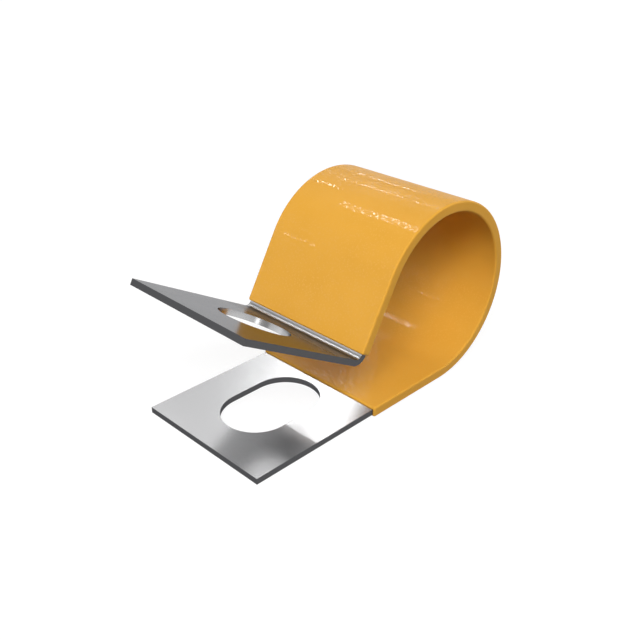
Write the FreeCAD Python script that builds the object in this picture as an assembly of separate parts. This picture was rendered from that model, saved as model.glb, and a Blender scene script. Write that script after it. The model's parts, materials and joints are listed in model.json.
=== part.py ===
import FreeCAD, Part
import math
import os

# Pipe clip: a flat steel band bent into an open loop, with a soft plastic coat moulded round it
# and a bare fixing tab at each end. All sizes are in millimetres and degrees.
#
# X is the loop's axis and the band's width. Y runs along the band from the lower tab towards the
# loop. Z is up. The origin is the centre of the lower tab's slot, on the tab's underside.

# Band stock
band_width = 20.0
band_thickness = 0.8

# Lower tab, bare and flat, pierced by a slot that runs along it
lower_tab_length = 19.2
fixing_slot_width = 9.2
fixing_slot_length = 13.8
slot_to_coat = 1.2

# Seat, the flat coated run between the lower tab and the loop
seat_length = 13.05

# Loop, as it is sold: sprung open, with the neck as the straight run from the loop to the fold
cable_bore_radius = 11.0
loop_turn = 240.0
neck_length = 9.75

# Fold at the top of the neck, turned back against the loop
fold_inner_radius = 0.8
fold_turn = 90.0

# Upper tab, bare and flat, pierced by a round hole
upper_tab_length = 18.9
bolt_hole_diameter = 9.2
fold_to_bolt_hole = 7.8

# Coat, the same on all four sides of the band, with its outer edges rounded
coat_thickness = 0.3
coat_edge_radius = 0.25
least_square_wall = 0.05

# How far a punch runs past each face of the band
punch_overrun = 1.0

# Two lengths closer than this are the same
same_length = 1e-6

half_band = band_thickness / 2
half_coated = half_band + coat_thickness
coated_width = band_width + 2 * coat_thickness
loop_mid_radius = cable_bore_radius + coat_thickness + half_band
fold_mid_radius = fold_inner_radius + half_band
slot_centre_to_coat = slot_to_coat + fixing_slot_length / 2
edge_radius = min(coat_edge_radius, coat_thickness - least_square_wall)


class Station:
    """A point on the band's middle line, with the direction that the line runs in."""

    def __init__(self, y, z, heading):
        self.y = y
        self.z = z
        self.heading = heading

    def beside(self, offset):
        """The point that lies offset to the left of the line, square to it."""
        angle = math.radians(self.heading + 90)
        return self.y + offset * math.cos(angle), self.z + offset * math.sin(angle)

    def forward(self, distance):
        """The station that lies a distance straight ahead."""
        angle = math.radians(self.heading)
        return Station(self.y + distance * math.cos(angle), self.z + distance * math.sin(angle), self.heading)


class Straight:
    """A flat run of the band."""

    def __init__(self, start, length):
        self.start = start
        self.end = start.forward(length)

    def edge(self, offset):
        """The run's line, moved to the left by offset."""
        return Part.makeLine(vector(self.start.beside(offset)), vector(self.end.beside(offset)))


class Bend:
    """A round run of the band. A turn above zero bends it to the left."""

    def __init__(self, start, mid_radius, turn):
        self.start = start
        self.mid_radius = mid_radius
        self.turn = turn
        self.middle = self.station(turn / 2)
        self.end = self.station(turn)

    def station(self, turned):
        """The station that the line reaches after it has turned this far."""
        side = math.copysign(self.mid_radius, self.turn)
        centre_y, centre_z = self.start.beside(side)
        heading = self.start.heading + turned
        angle = math.radians(heading - 90)
        return Station(centre_y + side * math.cos(angle), centre_z + side * math.sin(angle), heading)

    def edge(self, offset):
        """The run's arc, moved to the left by offset."""
        points = [vector(station.beside(offset)) for station in (self.start, self.middle, self.end)]
        return Part.Arc(*points).toShape()


def vector(point, x=0.0):
    """A point of the band's side view as a point in space."""
    y, z = point
    return FreeCAD.Vector(x, y, z)


def band_runs():
    """The band's middle line from the lower tab's free end to the upper tab's, run by run."""
    free_end = Station(slot_centre_to_coat - lower_tab_length, half_band, 0.0)
    lower_tab = Straight(free_end, lower_tab_length)
    seat = Straight(lower_tab.end, seat_length)
    loop = Bend(seat.end, loop_mid_radius, loop_turn)
    neck = Straight(loop.end, neck_length)
    fold = Bend(neck.end, fold_mid_radius, -fold_turn)
    upper_tab = Straight(fold.end, upper_tab_length)
    return {
        "lower_tab": lower_tab,
        "seat": seat,
        "loop": loop,
        "neck": neck,
        "fold": fold,
        "upper_tab": upper_tab,
    }


def strip(runs, half_thickness, width):
    """A strip along some runs of the middle line, centred on it and on the band's width."""
    upper_side = [run.edge(half_thickness) for run in runs]
    lower_side = [run.edge(-half_thickness) for run in runs]
    first, last = runs[0].start, runs[-1].end
    ends = [
        Part.makeLine(vector(station.beside(half_thickness)), vector(station.beside(-half_thickness)))
        for station in (first, last)
    ]
    outline = Part.Wire(Part.__sortEdges__(upper_side + lower_side + ends))
    side_view = Part.Face(outline)
    side_view.translate(FreeCAD.Vector(-width / 2, 0, 0))
    return side_view.extrude(FreeCAD.Vector(width, 0, 0))


def fixing_slot():
    """The punch for the lower tab's slot, which has round ends and stands upright on the origin."""
    radius = fixing_slot_width / 2
    reach = fixing_slot_length / 2 - radius
    corners = {
        (x, y): FreeCAD.Vector(x * radius, y * reach, -punch_overrun)
        for x in (-1, 1)
        for y in (-1, 1)
    }
    near_tip = FreeCAD.Vector(0, -fixing_slot_length / 2, -punch_overrun)
    far_tip = FreeCAD.Vector(0, fixing_slot_length / 2, -punch_overrun)
    outline = Part.Wire([
        Part.makeLine(corners[1, -1], corners[1, 1]),
        Part.Arc(corners[1, 1], far_tip, corners[-1, 1]).toShape(),
        Part.makeLine(corners[-1, 1], corners[-1, -1]),
        Part.Arc(corners[-1, -1], near_tip, corners[1, -1]).toShape(),
    ])
    return Part.Face(outline).extrude(FreeCAD.Vector(0, 0, band_thickness + 2 * punch_overrun))


def bolt_hole(upper_tab):
    """The punch for the upper tab's round hole, square to the tab."""
    centre = upper_tab.start.forward(fold_to_bolt_hole)
    depth = half_band + punch_overrun
    bottom = vector(centre.beside(-depth))
    top = vector(centre.beside(depth))
    return Part.makeCylinder(bolt_hole_diameter / 2, 2 * depth, bottom, top - bottom)


def steel_band(runs):
    """The whole band: one strip, bent and pierced."""
    blank = strip(list(runs.values()), half_band, band_width)
    return blank.cut([fixing_slot(), bolt_hole(runs["upper_tab"])])


def outer_edges(envelope, ends):
    """The edges round the coat's two flat sides and its two square ends."""
    chosen = []
    for edge in envelope.Edges:
        centre = edge.CenterOfMass
        on_side = abs(abs(centre.x) - coated_width / 2) < same_length
        at_end = any(
            math.hypot(centre.y - end.y, centre.z - end.z) < half_coated + same_length
            for end in ends
        )
        if on_side or at_end:
            chosen.append(edge)
    return chosen


def plastic_coat(runs):
    """The coat: a rounded sleeve from the lower tab to the fold, moulded face to face on the band."""
    coated = [runs["seat"], runs["loop"], runs["neck"]]
    envelope = strip(coated, half_coated, coated_width)
    ends = (coated[0].start, coated[-1].end)
    rounded = envelope.makeFillet(edge_radius, outer_edges(envelope, ends))
    core = strip(list(runs.values()), half_band, band_width)
    return rounded.cut(core)


def main():
    runs = band_runs()
    pieces = {
        "steel_band": steel_band(runs),
        "plastic_coat": plastic_coat(runs),
    }
    os.makedirs("parts", exist_ok=True)
    for name, shape in pieces.items():
        shape.exportStep(f"parts/{name}.step")
        print(name, "valid" if shape.isValid() else "NOT VALID", len(shape.Solids), "solid,",
              round(shape.Volume, 2), "mm3")


main()
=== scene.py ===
import bpy
import json
import math
from mathutils import Matrix, Vector


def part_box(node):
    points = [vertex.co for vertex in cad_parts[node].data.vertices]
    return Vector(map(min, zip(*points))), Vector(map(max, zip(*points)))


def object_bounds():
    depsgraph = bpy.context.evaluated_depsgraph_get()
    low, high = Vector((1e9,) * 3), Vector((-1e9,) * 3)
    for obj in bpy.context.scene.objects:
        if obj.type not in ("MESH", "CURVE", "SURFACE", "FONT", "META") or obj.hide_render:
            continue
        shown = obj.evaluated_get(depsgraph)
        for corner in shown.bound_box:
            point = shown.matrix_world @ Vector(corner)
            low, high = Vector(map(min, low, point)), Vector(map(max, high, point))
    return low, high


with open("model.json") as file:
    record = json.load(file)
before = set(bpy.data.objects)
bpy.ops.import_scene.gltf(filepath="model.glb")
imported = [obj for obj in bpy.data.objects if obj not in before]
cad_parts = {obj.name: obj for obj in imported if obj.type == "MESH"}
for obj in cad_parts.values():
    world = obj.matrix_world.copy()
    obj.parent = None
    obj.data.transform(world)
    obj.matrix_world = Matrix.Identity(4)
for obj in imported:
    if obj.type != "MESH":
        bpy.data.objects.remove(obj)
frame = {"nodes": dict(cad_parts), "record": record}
cad_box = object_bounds()

# The looks of a pipe clip: a bright steel band in an amber plastic coat, on a white studio floor.
# Lengths are in metres and angles in degrees. The frame is the clip's own: X is the loop's axis,
# Y runs along the band from the lower tab towards the loop, and Z is up.

MM = 0.001
UP = Vector((0, 0, 1))
LOOP_AXIS = Vector((1, 0, 0))
WHITE = (1, 1, 1, 1)

# Camera, at the photograph's viewing angle
VIEW_AZIMUTH = 45.16
VIEW_ELEVATION = 28.29
VIEW_ROLL = -0.15
VIEW_DISTANCE = 110.03 * MM
VIEW_TARGET = Vector((-1.22, 9.99, 8.475)) * MM
VIEW_NEAR = 1 * MM
VIEW_FAR = 50.0
SENSOR_WIDTH = 36.0
LENS = 47.58

# Floor, level with the coat's underside, with its shade to the eye and to the light that it
# throws back, and the distances between which it fades into the room
FLOOR_SIZE = 12.0
FLOOR_SHADOW = 0.2
FLOOR_BOUNCE = 0.08
FLOOR_GLOW = 0.86
FADE_START = 0.15
FADE_END = 0.6

# Room, as a mirror shows it at the horizon and overhead, and in the light that it gives
HORIZON_LIGHT = 1.0
HORIZON_ENDS = 0.12
ZENITH_LIGHT = 0.2
ZENITH_STARTS = 0.46
ROOM_LIGHT = 0.24

# Lamps, all this far from one place in the clip, which they face
LAMP_DISTANCE = 0.6
LAMP_TARGET = Vector((0, 12, 10)) * MM

# Noise: the values that it mostly lies between, and its usual detail
NOISE_SPAN = (0.3, 0.7)
PLAIN_DETAIL = 2.0

# Steel band, with the sizes by which its material finds the sheared faces, the hole and the fold
STEEL = (0.50, 0.50, 0.505, 1)
STEEL_EDGE_TINT = (0.44, 0.44, 0.45, 1)
# Painted shade: the sheared faces are coloured near-black in place of the dark that they mirror; only
# their roughness is the steel's own
CUT_STEEL_PAINTED_SHADE = (0.095, 0.095, 0.099, 1)
SHEET_ROUGHNESS = (0.18, 0.23)
CUT_ROUGHNESS = 0.42
HOLE_ROUGHNESS = 0.22
BEND_ROUGHNESS = 0.32
CLOUD_SIZE = (4 * MM, 6 * MM, 6 * MM)
GRAIN_SIZE = (0.12 * MM, 5 * MM, 5 * MM)
GRAIN_DETAIL = 3.0
GRAIN_SHARE = 0.15
GRAIN_DEPTH = 0.00005 * MM
SHEAR_SIZE = (0.10 * MM, 0.10 * MM, 0.8 * MM)
SHEET_THICKNESS = 0.8 * MM
HOLE_RADIUS = 4.6 * MM
FOLD_TO_HOLE = 7.8 * MM
FOLD_RADIUS = 1.2 * MM
UPPER_TAB_TILT = 30.0
BEND_CORE = 2.6 * MM
BEND_RIM = 4.6 * MM
FREE_END_REACH = 1 * MM
EDGE_MARGIN = 0.08 * MM
LEAST_SIDEWAYS = 0.02
MOST_UPWARD = 0.6

# Plastic coat, with glossy specks whose core and rim are shares of their spacing
COAT = (0.81, 0.405, 0.053, 1)
COAT_DEEP = (0.78, 0.385, 0.046, 1)
# Painted glint: a paler colour in the glossy specks on the coat's front and top
COAT_PAINTED_GLINT = (0.84, 0.43, 0.063, 1)
COAT_ROUGHNESS = (0.40, 0.48)
COAT_IOR = 1.47
COAT_SPECULAR = 0.09
COAT_CLOUD_SIZE = (7 * MM, 5 * MM, 5 * MM)
COAT_FINE_SIZE = (0.5 * MM, 0.5 * MM, 0.5 * MM)
GLOSS_WEIGHT = 0.04
GLOSS_ROUGHNESS = 0.05
PEEL_SIZE = (0.30 * MM, 0.30 * MM, 0.30 * MM)
PEEL_DETAIL = 1.0
PEEL_DEPTH = 0.0006 * MM
SPECK_WEIGHT = 0.8
SPECK_SPACING = 0.34 * MM
SPECK_CORE = 0.26
SPECK_RIM = 0.37
SPECK_SIDE = Vector((0, -0.5, 0.866))
SPECK_FADE = (0.62, 0.80)

# What Blender's mix node calls the kinds of value that it mixes
MIX_TYPES = {"Float": "FLOAT", "Color": "RGBA"}


class Nodes:
    """The emptied node tree of a material or a world, and the nodes that the looks are made of."""

    def __init__(self, holder):
        holder.use_nodes = True
        self.tree = holder.node_tree
        self.tree.nodes.clear()

    def feed(self, socket, value):
        """Gives an input its value: a number, a vector, a colour or another node's output."""
        if isinstance(value, bpy.types.NodeSocket):
            self.tree.links.new(value, socket)
        else:
            socket.default_value = value

    def add(self, kind, inputs=None, **settings):
        """A new node with these settings and with these inputs, by name or number."""
        node = self.tree.nodes.new(kind)
        for name, value in settings.items():
            setattr(node, name, value)
        for socket, value in (inputs or {}).items():
            self.feed(node.inputs[socket], value)
        return node

    def show(self, output, shader):
        """Ends the tree in an output node of this kind, which shows the shader."""
        self.add(output, {"Surface": shader.outputs[0]})

    def maths(self, operation, first, second=0.0):
        node = self.add("ShaderNodeMath", {0: first, 1: second}, operation=operation)
        return node.outputs[0]

    def vector_maths(self, operation, first, second, result="Vector"):
        node = self.add("ShaderNodeVectorMath", {0: first, 1: second}, operation=operation)
        return node.outputs[result]

    def axes(self, vector):
        """A vector's parts, by the names X, Y and Z."""
        return self.add("ShaderNodeSeparateXYZ", {"Vector": vector}).outputs

    def mix(self, kind, factor, first, second):
        """The first where the factor is 0 and the second where it is 1, each a Float or a Color."""
        node = self.add("ShaderNodeMix", data_type=MIX_TYPES[kind])
        inputs = {socket.identifier: socket for socket in node.inputs}
        self.feed(inputs["Factor_Float"], factor)
        self.feed(inputs[f"A_{kind}"], first)
        self.feed(inputs[f"B_{kind}"], second)
        outputs = {socket.identifier: socket for socket in node.outputs}
        return outputs[f"Result_{kind}"]

    def spread(self, value, span, new_span, interpolation="LINEAR"):
        """The value moved from one span to another and held at its ends."""
        inputs = {
            "Value": value,
            "From Min": span[0],
            "From Max": span[1],
            "To Min": new_span[0],
            "To Max": new_span[1],
        }
        node = self.add("ShaderNodeMapRange", inputs, interpolation_type=interpolation)
        return node.outputs["Result"]

    def noise(self, place, grain, detail=PLAIN_DETAIL):
        """Noise whose grains are this long along X, Y and Z."""
        per_grain = [1 / length for length in grain]
        inputs = {
            "Vector": self.vector_maths("MULTIPLY", place, per_grain),
            "Scale": 1.0,
            "Detail": detail,
        }
        return self.add("ShaderNodeTexNoise", inputs).outputs["Fac"]

    def bump(self, height, depth):
        """The surface's normal, leaned by a height of 0 to 1 that stands for this depth."""
        return self.add("ShaderNodeBump", {"Height": height, "Distance": depth}).outputs["Normal"]


def make_camera():
    turn = (
        Matrix.Rotation(math.radians(VIEW_AZIMUTH), 4, "Z")
        @ Matrix.Rotation(math.radians(90 - VIEW_ELEVATION), 4, "X")
        @ Matrix.Rotation(math.radians(VIEW_ROLL), 4, "Z")
    )
    back = turn.to_3x3() @ UP
    data = bpy.data.cameras.new("camera")
    data.sensor_width = SENSOR_WIDTH
    data.lens = LENS
    data.clip_start = VIEW_NEAR
    data.clip_end = VIEW_FAR
    camera = bpy.data.objects.new("camera", data)
    camera.matrix_world = Matrix.Translation(VIEW_TARGET + back * VIEW_DISTANCE) @ turn
    bpy.context.scene.collection.objects.link(camera)
    bpy.context.scene.camera = camera


def seen_factor(nodes):
    """1 for rays that show the background: from the camera, or by way of a mirror or glass."""
    path = nodes.add("ShaderNodeLightPath").outputs
    to_eye_or_mirror = nodes.maths("MAXIMUM", path["Is Camera Ray"], path["Is Glossy Ray"])
    return nodes.maths("MAXIMUM", to_eye_or_mirror, path["Is Transmission Ray"])


def floor_material():
    """White to the eye with a soft shadow, and dark in the light that it throws back."""
    material = bpy.data.materials.new("studio_floor")
    nodes = Nodes(material)
    seen = seen_factor(nodes)
    shade = nodes.mix("Float", seen, FLOOR_BOUNCE, FLOOR_SHADOW)
    diffuse = nodes.add("ShaderNodeBsdfDiffuse", {"Color": shade})
    place = nodes.add("ShaderNodeNewGeometry").outputs["Position"]
    distance = nodes.vector_maths("DISTANCE", place, (0, 0, 0), "Value")
    far_glow = HORIZON_LIGHT - FLOOR_SHADOW * ROOM_LIGHT
    glow = nodes.spread(distance, (FADE_START, FADE_END), (FLOOR_GLOW, far_glow), "SMOOTHSTEP")
    strength = nodes.maths("MULTIPLY", glow, seen)
    emission = nodes.add("ShaderNodeEmission", {"Color": WHITE, "Strength": strength})
    both = nodes.add("ShaderNodeAddShader", {0: diffuse.outputs[0], 1: emission.outputs[0]})
    nodes.show("ShaderNodeOutputMaterial", both)
    return material


def make_floor():
    half = FLOOR_SIZE / 2
    ground = cad_box[0][2]
    corners = [(x, y, ground) for x, y in ((-half, -half), (half, -half), (half, half), (-half, half))]
    mesh = bpy.data.meshes.new("floor")
    mesh.from_pydata(corners, [], [(0, 1, 2, 3)])
    floor = bpy.data.objects.new("floor", mesh)
    bpy.context.scene.collection.objects.link(floor)
    floor.data.materials.append(floor_material())


def make_world():
    """A room that is white to the eye, dimmer overhead in a mirror, and plain in its light."""
    world = bpy.data.worlds.new("room")
    bpy.context.scene.world = world
    nodes = Nodes(world)
    height = nodes.axes(nodes.add("ShaderNodeTexCoord").outputs["Generated"])["Z"]
    heights = (HORIZON_ENDS, ZENITH_STARTS)
    in_mirror = nodes.spread(height, heights, (HORIZON_LIGHT, ZENITH_LIGHT), "SMOOTHSTEP")
    strength = nodes.mix("Float", seen_factor(nodes), ROOM_LIGHT, in_mirror)
    to_eye = nodes.add("ShaderNodeLightPath").outputs["Is Camera Ray"]
    whitened = nodes.maths("MAXIMUM", strength, to_eye)
    background = nodes.add("ShaderNodeBackground", {"Color": WHITE, "Strength": whitened})
    nodes.show("ShaderNodeOutputWorld", background)


def lamp_size(angle):
    """The length that takes up this angle at the lamps' distance."""
    return 2 * LAMP_DISTANCE * math.tan(math.radians(angle / 2))


def add_lamp(name, towards, across, width, height, brightness, mirrored=True, lights=True):
    """A rectangular lamp in a direction from the clip, its width along across and both sizes angles.

    A brightness of 1 shows as white. A lamp that isn't mirrored makes no reflection or glint, and
    one that doesn't light makes only those.
    """
    side = (across - towards * across.dot(towards)).normalized()
    data = bpy.data.lights.new(name, "AREA")
    data.shape = "RECTANGLE"
    data.size = lamp_size(width)
    data.size_y = lamp_size(height)
    data.energy = brightness * math.pi * data.size * data.size_y
    lamp = bpy.data.objects.new(name, data)
    turn = Matrix((side, towards.cross(side), towards)).transposed().to_4x4()
    lamp.matrix_world = Matrix.Translation(LAMP_TARGET + towards * LAMP_DISTANCE) @ turn
    lamp.visible_camera = False
    lamp.visible_glossy = mirrored
    lamp.visible_diffuse = lights
    bpy.context.scene.collection.objects.link(lamp)


def soft_box(name, azimuth, elevation, **looks):
    """A lamp with its width level, placed by its bearing from +Y towards +X and its height."""
    bearing = math.radians(azimuth)
    rise = math.radians(elevation)
    ahead = Vector((math.sin(bearing), math.cos(bearing), 0))
    add_lamp(name, ahead * math.cos(rise) + UP * math.sin(rise), ahead.cross(UP), **looks)


def strip_light(name, off_axis, turn, length, thickness, brightness):
    """A lamp along the loop's axis that makes only glints and reflections.

    It is placed by its angle off the axis's -X end and by its turn round the axis, from +Y up.
    """
    lean = math.radians(off_axis)
    angle = math.radians(turn)
    outward = Vector((0, math.cos(angle), math.sin(angle)))
    towards = outward * math.sin(lean) - LOOP_AXIS * math.cos(lean)
    add_lamp(name, towards, LOOP_AXIS, length, thickness, brightness, lights=False)


def make_lamps():
    # Key light from above the camera, a veil of it that the steel shows, and a low light beside it
    soft_box("key_box", azimuth=135, elevation=45, width=32, height=22, brightness=11.3, mirrored=False)
    soft_box("key_veil", azimuth=135, elevation=45, width=50, height=40, brightness=0.6)
    soft_box("low_box", azimuth=144, elevation=17, width=12, height=8, brightness=3.0)

    # Fill light from both sides and from behind the loop
    soft_box("left_fill", azimuth=-150, elevation=30, width=50, height=40, brightness=0.6)
    soft_box("right_fill", azimuth=75, elevation=15, width=30, height=18, brightness=0.3)
    soft_box("back_fill", azimuth=0, elevation=18, width=44, height=30, brightness=0.6)
    soft_box("back_low", azimuth=0, elevation=9, width=50, height=15, brightness=2.2, mirrored=False)

    # Pale cards that only reflections show
    soft_box("right_card", azimuth=45, elevation=30, width=50, height=40, brightness=0.5, lights=False)
    soft_box("ceiling_card", azimuth=0, elevation=88, width=50, height=50, brightness=0.5, lights=False)

    # The bright patch that the lower tab shows to the camera, one light within another
    soft_box("rear_panel", azimuth=-56, elevation=34, width=28, height=20, brightness=0.95)
    soft_box("rear_halo", azimuth=-44, elevation=32.5, width=17, height=12, brightness=0.45)
    soft_box("rear_spot", azimuth=-45, elevation=32.3, width=4.5, height=2.4, brightness=2.3)

    # Glints along the loop, outside and inside, and on the seat
    strip_light("rear_strip", off_axis=54.4, turn=45, length=10, thickness=0.6, brightness=20)
    strip_light("top_strip", off_axis=55, turn=86.5, length=9, thickness=6.5, brightness=13)
    strip_light("left_strip", off_axis=48, turn=64, length=4, thickness=2.5, brightness=16)
    strip_light("front_strip", off_axis=47.5, turn=147, length=3.5, thickness=1.6, brightness=6)
    strip_light("inner_strip", off_axis=58, turn=139, length=5, thickness=1.2, brightness=18)
    strip_light("low_strip", off_axis=53, turn=21, length=5, thickness=3.0, brightness=6)


def hole_centre():
    """The middle of the upper tab's round hole, where the record puts its mount."""
    mount = next(each for each in frame["record"]["mounts"] if each["name"] == "clamping_hole")
    return Vector(mount["pos_m"])


def fold_centre():
    """The middle of the fold, worked out from the hole that lies up the tab from it."""
    tilt = math.radians(UPPER_TAB_TILT)
    up_tab = Vector((0, -math.cos(tilt), math.sin(tilt)))
    off_tab = Vector((0, math.sin(tilt), math.cos(tilt)))
    return hole_centre() - up_tab * FOLD_TO_HOLE + off_tab * FOLD_RADIUS


def hole_factor(nodes, place):
    """1 on the wall of the round hole, and 0 elsewhere."""
    distance = nodes.vector_maths("DISTANCE", place, hole_centre(), "Value")
    return nodes.maths("LESS_THAN", distance, HOLE_RADIUS + EDGE_MARGIN)


def cut_and_shade_factor(nodes, place, on_hole):
    """1 on the band's sheared sides and ends and on the slot's wall, and 0 elsewhere; these are rougher
    and painted dark as shade.
    """
    normal = nodes.axes(nodes.add("ShaderNodeNewGeometry").outputs["True Normal"])
    where = nodes.axes(place)
    sideways = nodes.maths("GREATER_THAN", nodes.maths("ABSOLUTE", normal["X"]), LEAST_SIDEWAYS)
    wall = nodes.maths("LESS_THAN", nodes.maths("ABSOLUTE", normal["Z"]), MOST_UPWARD)
    on_lower_tab = nodes.maths("LESS_THAN", where["Z"], SHEET_THICKNESS + EDGE_MARGIN)
    free_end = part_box("steel_band")[0].y + FREE_END_REACH
    at_free_end = nodes.maths("LESS_THAN", where["Y"], free_end)
    tab_wall = nodes.maths("MULTIPLY", wall, nodes.maths("MAXIMUM", on_lower_tab, at_free_end))
    cut = nodes.maths("MAXIMUM", sideways, tab_wall)
    return nodes.maths("MULTIPLY", cut, nodes.maths("SUBTRACT", 1.0, on_hole))


def bend_factor(nodes, place):
    """1 in the fold, fading to 0 on the flat sheet beside it."""
    across = nodes.vector_maths("MULTIPLY", place, Vector((1, 1, 1)) - LOOP_AXIS)
    distance = nodes.vector_maths("DISTANCE", across, fold_centre(), "Value")
    return nodes.spread(distance, (BEND_RIM, BEND_CORE), (0, 1))


def steel_material():
    """Bright rolled sheet, finely grained along the band, duller in the fold and where it was cut, with
    painted shade on the cut faces.
    """
    material = bpy.data.materials.new("rolled_steel")
    nodes = Nodes(material)
    place = nodes.add("ShaderNodeTexCoord").outputs["Object"]
    on_hole = hole_factor(nodes, place)
    cut = cut_and_shade_factor(nodes, place, on_hole)
    clouds = nodes.noise(place, CLOUD_SIZE)
    grain = nodes.noise(place, GRAIN_SIZE, GRAIN_DETAIL)
    shear = nodes.noise(place, SHEAR_SIZE)
    sheet = nodes.spread(nodes.mix("Float", GRAIN_SHARE, clouds, grain), NOISE_SPAN, SHEET_ROUGHNESS)
    bent = nodes.mix("Float", bend_factor(nodes, place), sheet, BEND_ROUGHNESS)
    uncut = nodes.mix("Float", on_hole, bent, HOLE_ROUGHNESS)
    shader = nodes.add("ShaderNodeBsdfPrincipled", {
        "Metallic": 1.0,
        # Painted shade: the sheared faces and slot wall take the near-black colour
        "Base Color": nodes.mix("Color", cut, STEEL, CUT_STEEL_PAINTED_SHADE),
        "Specular Tint": STEEL_EDGE_TINT,
        "Roughness": nodes.mix("Float", cut, uncut, CUT_ROUGHNESS),
        "Normal": nodes.bump(nodes.mix("Float", cut, grain, shear), GRAIN_DEPTH),
    })
    nodes.show("ShaderNodeOutputMaterial", shader)
    return material


def speck_and_glint_factor(nodes, place):
    """1 in the core of each glossy speck, which lie only on the coat's front and top and carry a painted
    glint.
    """
    spots = nodes.add("ShaderNodeTexVoronoi", {"Vector": place, "Scale": 1 / SPECK_SPACING}, feature="F1")
    speck = nodes.spread(spots.outputs["Distance"], (SPECK_RIM, SPECK_CORE), (0, 1))
    normal = nodes.add("ShaderNodeNewGeometry").outputs["Normal"]
    facing = nodes.vector_maths("DOT_PRODUCT", normal, SPECK_SIDE, "Value")
    return nodes.maths("MULTIPLY", speck, nodes.spread(facing, SPECK_FADE, (0, 1)))


def coat_material():
    """Soft plastic of an almost even colour, with a thin gloss that glints in small specks, which are
    also painted paler as glints.
    """
    material = bpy.data.materials.new("moulded_plastic")
    nodes = Nodes(material)
    place = nodes.add("ShaderNodeTexCoord").outputs["Object"]
    clouds = nodes.spread(nodes.noise(place, COAT_CLOUD_SIZE), NOISE_SPAN, (0, 1))
    fine = nodes.noise(place, COAT_FINE_SIZE)
    peel = nodes.noise(place, PEEL_SIZE, PEEL_DETAIL)
    speck = speck_and_glint_factor(nodes, place)
    colour = nodes.mix("Color", clouds, COAT, COAT_DEEP)
    shader = nodes.add("ShaderNodeBsdfPrincipled", {
        # Painted glint: the specks take the paler colour
        "Base Color": nodes.mix("Color", speck, colour, COAT_PAINTED_GLINT),
        "Roughness": nodes.spread(fine, NOISE_SPAN, COAT_ROUGHNESS),
        "IOR": COAT_IOR,
        "Specular IOR Level": COAT_SPECULAR,
        "Coat Weight": nodes.mix("Float", speck, GLOSS_WEIGHT, SPECK_WEIGHT),
        "Coat Roughness": GLOSS_ROUGHNESS,
        "Coat Normal": nodes.bump(peel, PEEL_DEPTH),
    })
    nodes.show("ShaderNodeOutputMaterial", shader)
    return material


def dress(node, material):
    for slot in frame["nodes"][node].material_slots:
        slot.material = material


bpy.context.scene.view_settings.view_transform = "Standard"
make_camera()
make_floor()
make_world()
make_lamps()
dress("steel_band", steel_material())
dress("plastic_coat", coat_material())
